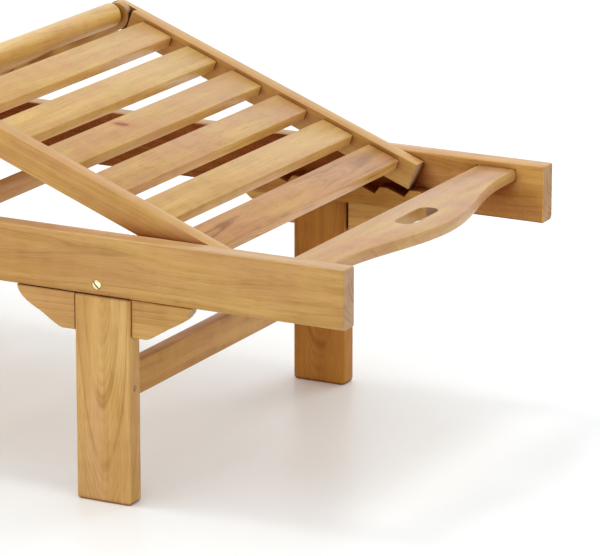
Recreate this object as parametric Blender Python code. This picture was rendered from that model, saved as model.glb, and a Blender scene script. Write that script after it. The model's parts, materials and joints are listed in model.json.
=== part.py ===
"""Slatted wooden sun lounger with a raised knee section, a toothed-rack footrest and a propped backrest.

The frame stands on the floor at z = 0. +X points to the foot end, +Y to the left of a person lying on it.
The model is at rest with the knee raised one notch and the backrest flat.
"""

import math

import bmesh
import bpy
from mathutils import Matrix, Vector

# Clearances
JOINT_GAP = 0.0003
RUN_GAP = 0.0003
RACK_CLEARANCE = 0.0004
TENON_END_GAP = 0.001

# Side rails of the frame
FRAME_WIDTH = 0.595
RAIL_TOP = 0.340
RAIL_HEIGHT = 0.076
RAIL_THICK = 0.028
RAIL_UNDER_ROUND = 0.006
RAIL_EDGE_ROUND = 0.0025
RAIL_END_EASE = 0.0015

# Boards in general
BOARD_EASE = 0.002

# Legs under the rails
LEG_FROM_END = 0.3316
LEG_WIDTH = 0.077
LEG_THICK = 0.027
LEG_PROUD = 0.0045
LEG_FOOT_ROUND = 0.005
LEG_TENON_WIDTH = 0.045
LEG_TENON_THICK = 0.009
LEG_TENON_LENGTH = 0.034

# Ogee brackets on both sides of a leg
BRACKET_LENGTH = 0.0843
BRACKET_DROP = 0.0474
BRACKET_TOE = 0.0195
BRACKET_WAIST_OUT = 0.050
BRACKET_WAIST_DROP = 0.0305
BRACKET_TIP_RUN = 0.005
BRACKET_TIP_FALL = 0.0475
BRACKET_WAIST_RUN = 0.019
BRACKET_WAIST_FALL = 0.010
BRACKET_TIP_SWELL = 1.6
BRACKET_EASE = 0.0012
BRACKET_THICK = 0.017
BRACKET_SET_BACK = 0.001
BRACKET_SHADOW_GAP = 0.0022

# Bolts through rail, leg tenon and rack
BOLT_SHANK_RADIUS = 0.003
BOLT_HEAD_RADIUS = 0.0063
BOLT_HEAD_RISE = 0.0018
BOLT_HEAD_SEAT = 0.0012
BOLT_OFFSET = 0.0093
BOLT_RISE = 0.0138
BOLT_BITE = 0.012

# Stretcher between the foot legs and tie between the rails
STRETCHER_TOP = 0.1645
STRETCHER_HEIGHT = 0.0431
STRETCHER_THICK = 0.020
TIE_FROM_FOOT = 0.6985
TIE_WIDTH = 0.040
TIE_THICK = 0.014
CROSS_TENON_LENGTH = 0.010
CROSS_TENON_SHOULDER = 0.004

# Handle board at the foot end
HANDLE_TOP_DROP = 0.008
HANDLE_THICK = 0.016
HANDLE_BACK = 0.0964
HANDLE_END_INSET = 0.040
HANDLE_BULGE = 0.038
HANDLE_BULGE_HALF = 0.235
HANDLE_HOUSING = 0.008
HANDLE_SLOT_LENGTH = 0.088
HANDLE_SLOT_WIDTH = 0.028
HANDLE_SLOT_FROM_END = 0.0505
HANDLE_EASE = 0.0035

# Panels that lie between the rails
PIVOT_HEIGHT = 0.316
PANEL_RAIL_HEIGHT = 0.0365
PANEL_DROP = 0.004
PANEL_RAIL_THICK = 0.024
PANEL_SIDE_GAP = 0.002
PANEL_EASE = 0.0018
SLAT_WIDTH = 0.048
SLAT_THICK = 0.016
SLAT_PITCH = 0.073
SLAT_RECESS = 0.0047
SLAT_TENON_WIDTH = 0.033
SLAT_TENON_THICK = 0.006
SLAT_TENON_LENGTH = 0.010

# Knee linkage: a short thigh from the seat hinge to the knee and a longer calf from the knee to the foot
THIGH_REACH = 0.353
THIGH_HIGHEST = math.radians(36.0)
CALF_REACH = 0.477
CALF_ANGLE = math.radians(20.9)
KNEE_BAR_RADIUS = 0.0163
KNEE_BAR_SHOULDER = 0.011
KNEE_PIN_RADIUS = 0.008
KNUCKLE_GAP = 0.0006
FOOT_OVERHANG = 0.0035
FOOT_GAP = 0.0044
FIRST_SLAT = 0.0427
LAST_SLAT_ROOM = 0.004
HINGE_ROD_RADIUS = 0.010
HINGE_ROD_BITE = 0.013

# Toothed racks
RACK_THICK = 0.022
RACK_NOTCHES = 5
RACK_PITCH = 0.0435
RACK_NOTCH_DEPTH = 0.0093
RACK_STEEP = 0.0075
RACK_LEAD = 0.0072
RACK_NOSE = 0.028
RACK_TAIL = 0.066
RACK_TIP_ROUND = 0.004
RACK_END_ROUND = 0.006
RACK_EASE = 0.001

# Backrest and its prop
HINGE_SPACING = 0.036
BACK_FIRST_SLAT = 0.020
BACK_END_ROOM = 0.018
BACK_BAR_GAP = 0.011
PROP_REACH = 0.420
PROP_ARM_HEIGHT = 0.030
PROP_ARM_THICK = 0.014
PROP_ARM_GAP = 0.001
PROP_RACK_GAP = 0.002
PROP_BAR_RADIUS = 0.011
PROP_BAR_SIDE_GAP = 0.005
PROP_PEG_RADIUS = 0.008
PROP_PEG_BITE = 0.012
BACK_NOTCHES = 5
BACK_PITCH = 0.085
BACK_LOWEST = math.radians(25.0)
BACK_RACK_TAIL = 0.040

# Board across the head end
HEAD_GAP = 0.020
HEAD_THICK = 0.022
HEAD_HEIGHT = 0.065
HEAD_TOP_DROP = 0.006
HEAD_INSET = 0.006

# Wheels inside the head legs
WHEEL_RADIUS = 0.075
WHEEL_WIDTH = 0.026
WHEEL_WEB = 0.018
WHEEL_RIM = 0.014
HUB_RADIUS = 0.022
HUB_WIDTH = 0.032
AXLE_RADIUS = 0.015
AXLE_END_RADIUS = 0.008
AXLE_BITE = 0.015
WHEEL_SIDE_GAP = 0.0008

ROUND_SIDES = 24
BOLT_SIDES = 16
BOLT_DOME_STEPS = 3
WHEEL_SIDES = 24
END_STEPS = 8
SWING_STEPS = 24

# Derived levels and faces
RAIL_BOTTOM = RAIL_TOP - RAIL_HEIGHT
RAIL_OUTER = FRAME_WIDTH / 2
RAIL_INNER = RAIL_OUTER - RAIL_THICK
LEG_OUTER = RAIL_OUTER + LEG_PROUD
LEG_INNER = LEG_OUTER - LEG_THICK
RACK_OUTER = RAIL_INNER - JOINT_GAP
RACK_INNER = RACK_OUTER - RACK_THICK
PANEL_HALF = PANEL_RAIL_HEIGHT / 2
PANEL_TOP = PANEL_HALF - PANEL_DROP
PANEL_BOTTOM = -PANEL_HALF - PANEL_DROP
PANEL_OUTER = RAIL_INNER - PANEL_SIDE_GAP
PANEL_INNER = PANEL_OUTER - PANEL_RAIL_THICK
PANEL_MIDDLE = (PANEL_OUTER + PANEL_INNER) / 2
SLAT_MIDDLE = PANEL_TOP - SLAT_RECESS - SLAT_THICK / 2
KNUCKLE_SHOULDER = PANEL_HALF + PANEL_DROP + KNUCKLE_GAP
THIGH_ANGLE = math.asin(CALF_REACH * math.sin(CALF_ANGLE) / THIGH_REACH)
ARM_OUTER = RACK_INNER - PROP_RACK_GAP
ARM_INNER = ARM_OUTER - PROP_ARM_THICK
BACK_OUTER = ARM_INNER - PROP_ARM_GAP
BACK_INNER = BACK_OUTER - PANEL_RAIL_THICK

# The backrest ends short of its flat prop bar; slats fill each panel at their pitch
BACK_LENGTH = 2 * PROP_REACH - PROP_BAR_RADIUS - BACK_BAR_GAP
BACK_SLAT_RUN = BACK_LENGTH - BACK_FIRST_SLAT - SLAT_WIDTH - BACK_END_ROOM
BACK_SLATS = 1 + int(BACK_SLAT_RUN / SLAT_PITCH)
SLAT_ENDS_ROOM = FIRST_SLAT + SLAT_WIDTH + HINGE_ROD_RADIUS + LAST_SLAT_ROOM
CALF_SLATS = 1 + int((CALF_REACH - SLAT_ENDS_ROOM) / SLAT_PITCH)
THIGH_SLATS = 1 + int((THIGH_REACH - SLAT_ENDS_ROOM) / SLAT_PITCH)

# The frame is as long as the flat panels, the handle board and the head board need
KNEE_LENGTH = FOOT_OVERHANG + CALF_REACH + THIGH_REACH
PANELS_LENGTH = KNEE_LENGTH + HINGE_SPACING + 2 * PROP_REACH + PROP_BAR_RADIUS
HEAD_LENGTH = HEAD_GAP + HEAD_THICK + HEAD_INSET
RAIL_LENGTH = HANDLE_BACK + FOOT_GAP + PANELS_LENGTH + HEAD_LENGTH
FOOT_X = RAIL_LENGTH / 2
HEAD_X = -FOOT_X
SEAT_X = FOOT_X - HANDLE_BACK - FOOT_GAP - KNEE_LENGTH
BACK_X = SEAT_X - HINGE_SPACING
LEG_FOOT_X = FOOT_X - LEG_FROM_END
LEG_HEAD_X = HEAD_X + LEG_FROM_END

SIDES = {"left": 1, "right": -1}


def calf_corner(thigh_angle):
    """Lower corner of the calf rail, from the seat hinge; the calf turns in proportion to the thigh."""
    calf_angle = thigh_angle * CALF_ANGLE / THIGH_ANGLE
    run = CALF_REACH + FOOT_OVERHANG
    x = THIGH_REACH * math.cos(thigh_angle) + run * math.cos(calf_angle) + PANEL_BOTTOM * math.sin(calf_angle)
    z = THIGH_REACH * math.sin(thigh_angle) - run * math.sin(calf_angle) + PANEL_BOTTOM * math.cos(calf_angle)
    return x, z


# Lowest points of the swinging calf corner and of the prop bar set the heights of the racks
CALF_CORNER_X = SEAT_X + calf_corner(THIGH_ANGLE)[0]
CALF_LOWEST = min(calf_corner(THIGH_HIGHEST * step / SWING_STEPS)[1] for step in range(SWING_STEPS + 1))
FOOT_RACK_TOP = PIVOT_HEIGHT + CALF_LOWEST - RACK_CLEARANCE
BACK_RACK_TOP = PIVOT_HEIGHT - PROP_BAR_RADIUS - RACK_CLEARANCE


def clear_scene():
    for old in list(bpy.data.objects):
        bpy.data.objects.remove(old, do_unlink=True)


def material(name, colour, roughness, metallic=0.0):
    """Principled material of one piece."""
    made = bpy.data.materials.new(name)
    made.use_nodes = True
    shader = made.node_tree.nodes["Principled BSDF"]
    shader.inputs["Base Color"].default_value = (*colour, 1.0)
    shader.inputs["Roughness"].default_value = roughness
    shader.inputs["Metallic"].default_value = metallic
    return made


def wood(name, shade=1.0):
    """Oiled honey-brown hardwood; shade lightens or darkens the board."""
    return material(name, (0.56 * shade, 0.35 * shade, 0.16 * shade), 0.55)


def brass(name):
    return material(name, (0.72, 0.53, 0.22), 0.32, 1.0)


def finished(name, bm, look, parent=None, smooth=True):
    """Turn an edit mesh into a named object with its material."""
    bmesh.ops.recalc_face_normals(bm, faces=bm.faces)
    mesh = bpy.data.meshes.new(name)
    bm.to_mesh(mesh)
    bm.free()
    if smooth:
        mesh.shade_smooth()
        mesh.set_sharp_from_angle(angle=math.radians(35))
    thing = bpy.data.objects.new(name, mesh)
    bpy.context.scene.collection.objects.link(thing)
    if look is not None:
        mesh.materials.append(look)
    thing.parent = parent
    return thing


def pivot(name, place, turn, parent=None):
    """Empty on a joint axis that runs along Y."""
    empty = bpy.data.objects.new(name, None)
    bpy.context.scene.collection.objects.link(empty)
    empty.location = place
    empty.rotation_euler = (0.0, turn, 0.0)
    empty.parent = parent
    return empty


def filleted(corners, radii, steps=3):
    """Closed outline whose corners are rounded, each by its own radius."""
    outline = []
    count = len(corners)
    for index, corner in enumerate(corners):
        radius = radii[index]
        here = Vector(corner)
        if radius <= 0.0:
            outline.append(here)
            continue
        back = (Vector(corners[index - 1]) - here).normalized()
        ahead = (Vector(corners[(index + 1) % count]) - here).normalized()
        half = back.angle(ahead) / 2
        centre = here + (back + ahead).normalized() * (radius / math.sin(half))
        start = here + back * (radius / math.tan(half)) - centre
        end = here + ahead * (radius / math.tan(half)) - centre
        sweep = start.angle_signed(end)
        for step in range(steps + 1):
            turned = start.copy()
            turned.rotate(Matrix.Rotation(-sweep * step / steps, 2))
            outline.append(centre + turned)
    return outline


def hermite(start, leave, end, arrive, steps):
    """Points of a cubic from start to end with given end tangents, without the last point."""
    points = []
    for step in range(steps):
        t = step / steps
        points.append(
            Vector(start) * (2 * t**3 - 3 * t**2 + 1)
            + Vector(leave) * (t**3 - 2 * t**2 + t)
            + Vector(end) * (3 * t**2 - 2 * t**3)
            + Vector(arrive) * (t**3 - t**2)
        )
    return points


def prism_mesh(outline, plane, low, high, ease=0.0, steps=1):
    """Solid swept from an outline square to its plane, with both rims eased."""
    place = {
        "XZ": lambda p, depth: (p[0], depth, p[1]),
        "XY": lambda p, depth: (p[0], p[1], depth),
        "YZ": lambda p, depth: (depth, p[0], p[1]),
    }[plane]
    across = {"XZ": 1, "XY": 2, "YZ": 0}[plane]
    bm = bmesh.new()
    base = bm.faces.new([bm.verts.new(place(p, low)) for p in outline])
    top = bmesh.ops.extrude_face_region(bm, geom=[base])["geom"]
    shift = Vector((0, 0, 0))
    shift[across] = high - low
    bmesh.ops.translate(bm, verts=[v for v in top if isinstance(v, bmesh.types.BMVert)], vec=shift)
    bmesh.ops.recalc_face_normals(bm, faces=bm.faces)
    if ease > 0.0:
        rims = [e for e in bm.edges if abs(e.verts[0].co[across] - e.verts[1].co[across]) < 1e-7]
        bmesh.ops.bevel(bm, geom=rims, offset=ease, segments=steps, profile=0.5, affect="EDGES")
    return bm


def block_mesh(size, centre, ease=0.0, steps=2):
    """Board with all its edges eased."""
    bm = bmesh.new()
    bmesh.ops.create_cube(bm, size=1.0)
    bmesh.ops.scale(bm, vec=size, verts=bm.verts)
    if ease > 0.0:
        bmesh.ops.bevel(bm, geom=bm.edges[:], offset=ease, segments=steps, profile=0.5, affect="EDGES")
    bmesh.ops.translate(bm, vec=centre, verts=bm.verts)
    bm.normal_update()
    return bm


def add_tenon(bm, direction, spans, length, lie=0.0):
    """Raise a tenon on the end face towards direction; spans are its sizes along X, Y and Z there.

    lie places the tenon off the face's middle, along Y.
    """
    aim = Vector(direction)
    bm.normal_update()
    facing = [f for f in bm.faces if f.normal.dot(aim) > 0.999]
    end = max(facing, key=lambda f: (round(f.calc_center_median().dot(aim), 6), f.calc_area()))
    middle = end.calc_center_median()
    root = bmesh.ops.extrude_discrete_faces(bm, faces=[end])["faces"][0]
    for vert in root.verts:
        for axis in range(3):
            if abs(aim[axis]) < 0.5:
                side = math.copysign(1.0, vert.co[axis] - middle[axis])
                vert.co[axis] = middle[axis] + side * spans[axis] / 2
        vert.co.y += lie
    tip = bmesh.ops.extrude_discrete_faces(bm, faces=[root])["faces"][0]
    bmesh.ops.translate(bm, verts=tip.verts, vec=aim * length)


def turned_mesh(profile, centre, sides=ROUND_SIDES):
    """Solid turned about Y from (y, radius) stations that end on the axis or close on themselves."""
    bm = bmesh.new()
    rings = []
    for along, radius in profile:
        if radius < 1e-9:
            rings.append([bm.verts.new((0.0, along, 0.0))])
            continue
        ring = []
        for side in range(sides):
            angle = 2 * math.pi * side / sides
            ring.append(bm.verts.new((radius * math.cos(angle), along, radius * math.sin(angle))))
        rings.append(ring)
    closed = profile[0][1] > 1e-9
    pairs = list(zip(rings, rings[1:]))
    if closed:
        pairs.append((rings[-1], rings[0]))
    for first, second in pairs:
        for side in range(sides):
            after = (side + 1) % sides
            corners = [first[side % len(first)], first[after % len(first)]]
            corners += [second[after % len(second)], second[side % len(second)]]
            bm.faces.new(list(dict.fromkeys(corners)))
    bmesh.ops.translate(bm, vec=centre, verts=bm.verts)
    bmesh.ops.recalc_face_normals(bm, faces=bm.faces)
    return bm


def merged(parts):
    """One edit mesh from several."""
    whole = bmesh.new()
    for part in parts:
        loose = bpy.data.meshes.new("loose")
        part.to_mesh(loose)
        part.free()
        whole.from_mesh(loose)
        bpy.data.meshes.remove(loose)
    return whole


def rod_mesh(radius, low, high, x=0.0, z=0.0):
    """Plain round rod along Y."""
    profile = [(low, 0.0), (low, radius), (high, radius), (high, 0.0)]
    return turned_mesh(profile, (x, 0.0, z))


def combine(target, name, parts, parent, operation):
    """Cut the bodies of parts out of target, or join them to it, through a hidden object."""
    tool = finished(name, merged(parts), None, parent, smooth=False)
    tool.hide_render = True
    tool.display_type = "WIRE"
    step = target.modifiers.new(name, "BOOLEAN")
    step.operation = operation
    step.solver = "EXACT"
    step.object = tool


def carve(target, name, parts, parent=None):
    combine(target, name, parts, parent, "DIFFERENCE")


def weld(target, name, parts, parent=None):
    combine(target, name, parts, parent, "UNION")


def span(low, high, side):
    """Ordered Y limits on one side of the middle plane."""
    return sorted((low * side, high * side))


def leg_tenon_lie():
    """Distance of the tenon's middle from the leg's own middle, towards the outer face."""
    return (LEG_THICK - RAIL_THICK) / 2 - LEG_PROUD


def side_rail(label, side):
    """Long rail with a rounder lower outer edge, and its mortises and holes."""
    near, far = RAIL_INNER * side, RAIL_OUTER * side
    corners = [(near, RAIL_BOTTOM), (far, RAIL_BOTTOM), (far, RAIL_TOP), (near, RAIL_TOP)]
    radii = [RAIL_EDGE_ROUND, RAIL_UNDER_ROUND, RAIL_EDGE_ROUND, RAIL_EDGE_ROUND]
    bm = prism_mesh(filleted(corners, radii), "YZ", HEAD_X, FOOT_X, RAIL_END_EASE)
    rail = finished(f"side_rail_{label}", bm, wood(f"side_rail_{label}", 0.98))
    cuts = []
    middle = (RAIL_INNER + RAIL_OUTER) / 2 * side
    for leg_x in (LEG_FOOT_X, LEG_HEAD_X):
        depth = LEG_TENON_LENGTH + TENON_END_GAP
        size = (LEG_TENON_WIDTH + 2 * JOINT_GAP, LEG_TENON_THICK + 2 * JOINT_GAP, 2 * depth)
        cuts.append(block_mesh(size, (leg_x, middle, RAIL_BOTTOM)))
    for end_x, size in ((tie_middle(), tie_section()), (head_middle(), head_section())):
        width, height, low = size
        mortise = (
            width - 2 * CROSS_TENON_SHOULDER + 2 * JOINT_GAP,
            2 * (CROSS_TENON_LENGTH + TENON_END_GAP),
            height - 2 * CROSS_TENON_SHOULDER + 2 * JOINT_GAP,
        )
        cuts.append(block_mesh(mortise, (end_x, near, low + height / 2)))
    housing = (
        HANDLE_BACK - HANDLE_END_INSET + 2 * JOINT_GAP,
        2 * (HANDLE_HOUSING + JOINT_GAP),
        HANDLE_THICK + 2 * JOINT_GAP,
    )
    handle_x = FOOT_X - (HANDLE_BACK + HANDLE_END_INSET) / 2
    cuts.append(block_mesh(housing, (handle_x, near, handle_top() - HANDLE_THICK / 2)))
    for hinge_x in (SEAT_X, BACK_X):
        low, high = span(RAIL_INNER - HINGE_ROD_BITE, RAIL_INNER + HINGE_ROD_BITE + TENON_END_GAP, side)
        cuts.append(rod_mesh(HINGE_ROD_RADIUS + RUN_GAP, low, high, hinge_x, PIVOT_HEIGHT))
    carve(rail, f"rail_mortises_{label}", cuts)
    carve(rail, f"rail_bolt_bore_{label}", [bolt_bore(side)])


def bolt_x():
    return LEG_FOOT_X - BOLT_OFFSET


def bolt_bore(side):
    """Stepped hole for a bolt: head seat in the rail's outer face, shank hole to the bolt's end."""
    seat = (RAIL_OUTER - BOLT_HEAD_SEAT - JOINT_GAP) * side
    outside = (RAIL_OUTER + BOLT_HEAD_SEAT) * side
    end = (RACK_OUTER - BOLT_BITE - TENON_END_GAP) * side
    wide = BOLT_HEAD_RADIUS + JOINT_GAP
    slim = BOLT_SHANK_RADIUS + JOINT_GAP
    profile = [(end, 0.0), (end, slim), (seat, slim), (seat, wide), (outside, wide), (outside, 0.0)]
    return turned_mesh(profile, (bolt_x(), 0.0, RAIL_BOTTOM + BOLT_RISE), BOLT_SIDES)


def leg_bolt(label, side):
    """Round-headed bolt that locks the foot leg's tenon and the rack to the rail."""
    end = (RACK_OUTER - BOLT_BITE) * side
    seat = (RAIL_OUTER - BOLT_HEAD_SEAT) * side
    profile = [(end, 0.0), (end, BOLT_SHANK_RADIUS), (seat, BOLT_SHANK_RADIUS), (seat, BOLT_HEAD_RADIUS)]
    for step in range(BOLT_DOME_STEPS):
        lean = math.pi / 2 * step / BOLT_DOME_STEPS
        rise = BOLT_HEAD_RISE * math.sin(lean)
        profile.append(((RAIL_OUTER + rise) * side, BOLT_HEAD_RADIUS * math.cos(lean)))
    profile.append(((RAIL_OUTER + BOLT_HEAD_RISE) * side, 0.0))
    bm = turned_mesh(profile, (bolt_x(), 0.0, RAIL_BOTTOM + BOLT_RISE), BOLT_SIDES)
    finished(f"leg_bolt_{label}", bm, brass(f"leg_bolt_{label}"))


def leg_outline(leg_x, top, foot):
    """Side view of a leg; foot is its lower end, square for the floor or round about the axle."""
    half = LEG_WIDTH / 2
    left, right = leg_x - half, leg_x + half
    if foot == "floor":
        corners = [(left, 0.0), (right, 0.0), (right, top), (left, top)]
        return filleted(corners, [LEG_FOOT_ROUND, LEG_FOOT_ROUND, 0.0, 0.0])
    points = [Vector((right, top)), Vector((left, top))]
    for step in range(2 * END_STEPS + 1):
        angle = math.pi + math.pi * step / (2 * END_STEPS)
        points.append(Vector((leg_x + half * math.cos(angle), WHEEL_RADIUS + half * math.sin(angle))))
    return points


def leg(label, side, leg_x, foot):
    """Leg that stands a little proud of the rail's outer face, tenoned into the rail's lower edge."""
    low, high = span(LEG_INNER, LEG_OUTER, side)
    end = "foot" if foot == "floor" else "head"
    name = f"leg_{end}_{label}"
    bm = prism_mesh(leg_outline(leg_x, RAIL_BOTTOM - JOINT_GAP, foot), "XZ", low, high, RAIL_EDGE_ROUND, 2)
    spans = (LEG_TENON_WIDTH, LEG_TENON_THICK, 0.0)
    add_tenon(bm, (0, 0, 1), spans, LEG_TENON_LENGTH + JOINT_GAP, leg_tenon_lie() * side)
    piece = finished(name, bm, wood(name, 0.95))
    if end == "foot":
        cuts = [bolt_bore(side), stretcher_mortise(side)]
    else:
        blind = span(LEG_INNER - AXLE_BITE, LEG_INNER + AXLE_BITE + TENON_END_GAP, side)
        cuts = [rod_mesh(AXLE_END_RADIUS + JOINT_GAP, *blind, leg_x, WHEEL_RADIUS)]
    carve(piece, f"{name}_cuts", cuts)


def bracket(label, side, leg_x, hand, tight):
    """Ogee bracket in the corner of leg and rail; hand is +1 on the foot side of the leg."""
    top = RAIL_BOTTOM - JOINT_GAP
    root = leg_x + hand * (LEG_WIDTH / 2 + (JOINT_GAP if tight else BRACKET_SHADOW_GAP))
    waist = (BRACKET_WAIST_OUT, -BRACKET_WAIST_DROP)
    waist_run = Vector((-BRACKET_WAIST_RUN, -BRACKET_WAIST_FALL))
    tip_drop = Vector((-BRACKET_TIP_RUN, -BRACKET_TIP_FALL))
    toe = (BRACKET_TOE, -BRACKET_DROP)
    curve = hermite((BRACKET_LENGTH, 0.0), tip_drop, waist, waist_run * BRACKET_TIP_SWELL, 6)
    curve += hermite(waist, waist_run, toe, (-BRACKET_TOE, 0.0), 6)
    curve += [Vector(toe), Vector((0.0, -BRACKET_DROP)), Vector((0.0, 0.0))]
    outline = [(root + hand * p[0], top + p[1]) for p in curve]
    low, high = span(RAIL_OUTER - BRACKET_SET_BACK - BRACKET_THICK, RAIL_OUTER - BRACKET_SET_BACK, side)
    end = "foot" if leg_x > 0 else "head"
    name = f"bracket_{end}_{'outer' if (hand > 0) == (leg_x > 0) else 'inner'}_{label}"
    finished(name, prism_mesh(outline, "XZ", low, high, BRACKET_EASE), wood(name, 0.93))


def rack_outline(notches, hand, top, nose, tail):
    """Rack outline: steep face, round tip and long slope for each notch."""
    valley = top - RACK_NOTCH_DEPTH
    slope = RACK_NOTCH_DEPTH / math.tan(CALF_ANGLE)
    head = notches[0] + hand * nose
    corners = [(head, RAIL_BOTTOM), (head, top)]
    radii = [RAIL_EDGE_ROUND, RACK_END_ROUND]
    for notch in notches:
        corners += [(notch + hand * RACK_STEEP, top), (notch, valley), (notch - hand * slope, top)]
        radii += [RACK_TIP_ROUND * 0.5, 0.0, RACK_TIP_ROUND]
    end = notches[-1] - hand * tail
    corners += [(end, top), (end, RAIL_BOTTOM)]
    radii += [RACK_END_ROUND, RAIL_EDGE_ROUND]
    return filleted(corners, radii, 2)


def foot_rack(label, side):
    """Rack that catches the lower corner of the calf rail."""
    first = CALF_CORNER_X - RACK_LEAD
    notches = [first - RACK_PITCH * k for k in range(RACK_NOTCHES)]
    outline = rack_outline(notches, 1, FOOT_RACK_TOP, RACK_NOSE, RACK_TAIL)
    low, high = span(RACK_INNER, RACK_OUTER, side)
    name = f"rack_foot_{label}"
    rack = finished(name, prism_mesh(outline, "XZ", low, high, RACK_EASE), wood(name, 0.90))
    carve(rack, f"{name}_bore", [bolt_bore(side)])


def back_rack(label, side):
    """Rack that catches the bar of the backrest's prop."""
    lowest = BACK_X - 2 * PROP_REACH * math.cos(BACK_LOWEST)
    notches = [lowest + BACK_PITCH * k for k in range(BACK_NOTCHES)]
    flat_bar = BACK_X - 2 * PROP_REACH
    nose = lowest - flat_bar + PROP_BAR_RADIUS
    outline = rack_outline(notches, -1, BACK_RACK_TOP, nose, BACK_RACK_TAIL)
    low, high = span(RACK_INNER, RACK_OUTER, side)
    name = f"rack_back_{label}"
    finished(name, prism_mesh(outline, "XZ", low, high, RACK_EASE), wood(name, 0.90))


def tie_middle():
    return FOOT_X - TIE_FROM_FOOT


def tie_section():
    return TIE_WIDTH, TIE_THICK, RAIL_BOTTOM + JOINT_GAP


def head_middle():
    return HEAD_X + HEAD_INSET + HEAD_THICK / 2


def head_section():
    return HEAD_THICK, HEAD_HEIGHT, RAIL_TOP - HEAD_TOP_DROP - HEAD_HEIGHT


def cross_board(name, x, section, inner, shade):
    """Board across the frame with a stub tenon at each end."""
    width, height, low = section
    size = (width, 2 * (inner - JOINT_GAP), height)
    bm = block_mesh(size, (x, 0.0, low + height / 2), BOARD_EASE)
    spans = (width - 2 * CROSS_TENON_SHOULDER, 0.0, height - 2 * CROSS_TENON_SHOULDER)
    for end in SIDES.values():
        add_tenon(bm, (0, end, 0), spans, CROSS_TENON_LENGTH + JOINT_GAP)
    finished(name, bm, wood(name, shade))


def stretcher_section():
    return STRETCHER_THICK, STRETCHER_HEIGHT, STRETCHER_TOP - STRETCHER_HEIGHT


def stretcher_mortise(side):
    width, height, low = stretcher_section()
    size = (
        width - 2 * CROSS_TENON_SHOULDER + 2 * JOINT_GAP,
        2 * (CROSS_TENON_LENGTH + TENON_END_GAP),
        height - 2 * CROSS_TENON_SHOULDER + 2 * JOINT_GAP,
    )
    return block_mesh(size, (LEG_FOOT_X, LEG_INNER * side, low + height / 2))


def handle_top():
    return RAIL_TOP - HANDLE_TOP_DROP


def handle_front(y):
    """Front edge of the handle board: swells out to the grip in the middle."""
    swell = 0.0
    if abs(y) < HANDLE_BULGE_HALF:
        swell = HANDLE_BULGE * 0.5 * (1 + math.cos(math.pi * y / HANDLE_BULGE_HALF))
    return FOOT_X - HANDLE_END_INSET + swell


def handle_board():
    """Pull handle: board housed in both rails, with a swelling grip and a hand slot."""
    end = RAIL_INNER + HANDLE_HOUSING
    back = FOOT_X - HANDLE_BACK
    steps = 28
    outline = [(back, -end), (back, end), (handle_front(end), end)]
    for step in range(steps + 1):
        y = HANDLE_BULGE_HALF * (1 - 2 * step / steps)
        outline.append((handle_front(y), y))
    outline.append((handle_front(-end), -end))
    top = handle_top()
    bm = prism_mesh(outline, "XY", top - HANDLE_THICK, top, HANDLE_EASE, 2)
    board = finished("handle_board", bm, wood("handle_board", 1.08))
    radius = HANDLE_SLOT_WIDTH / 2
    run = HANDLE_SLOT_LENGTH / 2 - radius
    slot_x = FOOT_X - HANDLE_SLOT_FROM_END
    slot = []
    for end_side in (1, -1):
        for step in range(END_STEPS + 1):
            angle = math.pi * step / END_STEPS + (0.0 if end_side > 0 else math.pi)
            slot.append((slot_x + radius * math.cos(angle), end_side * run + radius * math.sin(angle)))
    reach = HANDLE_THICK
    carve(board, "handle_slot", [prism_mesh(slot, "XY", top - 2 * reach, top + reach)])


def panel_outline(start, end, round_start, round_end):
    """Side view of a panel rail along local X, a little below its pivots, with round or square ends."""
    points = []
    if round_end:
        for step in range(END_STEPS + 1):
            angle = -math.pi / 2 + math.pi * step / END_STEPS
            points.append((end + PANEL_HALF * math.cos(angle), PANEL_HALF * math.sin(angle) - PANEL_DROP))
    else:
        points += [(end, PANEL_BOTTOM), (end, PANEL_TOP)]
    if round_start:
        for step in range(END_STEPS + 1):
            angle = math.pi / 2 + math.pi * step / END_STEPS
            points.append((start + PANEL_HALF * math.cos(angle), PANEL_HALF * math.sin(angle) - PANEL_DROP))
    else:
        points += [(start, PANEL_TOP), (start, PANEL_BOTTOM)]
    return points


def slat_mortises(starts, inner, side):
    """Blind mortises for the slats' tenons in one panel rail."""
    size = (
        SLAT_TENON_WIDTH + 2 * JOINT_GAP,
        2 * (SLAT_TENON_LENGTH + TENON_END_GAP),
        SLAT_TENON_THICK + 2 * JOINT_GAP,
    )
    return [block_mesh(size, (start + SLAT_WIDTH / 2, inner * side, SLAT_MIDDLE)) for start in starts]


def slats(prefix, starts, inner, parent, steps):
    """Row of slats between two panel rails."""
    for number, start in enumerate(starts, 1):
        size = (SLAT_WIDTH, 2 * (inner - JOINT_GAP), SLAT_THICK)
        bm = block_mesh(size, (start + SLAT_WIDTH / 2, 0.0, SLAT_MIDDLE), BOARD_EASE, steps)
        spans = (SLAT_TENON_WIDTH, 0.0, SLAT_TENON_THICK)
        for end in SIDES.values():
            add_tenon(bm, (0, end, 0), spans, SLAT_TENON_LENGTH + JOINT_GAP)
        name = f"{prefix}_slat_{number}"
        finished(name, bm, wood(name, 1.0 + 0.05 * math.sin(2.1 * number)), parent)


def knuckle_cut(middle, keep_outer, at, towards, side):
    """Block that halves a rail's end so that two rails lap at the knee."""
    reach = 2 * PANEL_RAIL_HEIGHT
    x = at - towards * KNUCKLE_SHOULDER + towards * reach / 2
    lap = PANEL_RAIL_THICK
    if keep_outer:
        centre = (middle + KNUCKLE_GAP / 2 - lap / 2) * side
    else:
        centre = (middle - KNUCKLE_GAP / 2 + lap / 2) * side
    return block_mesh((reach, lap, reach), (x, centre, 0.0))


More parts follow.
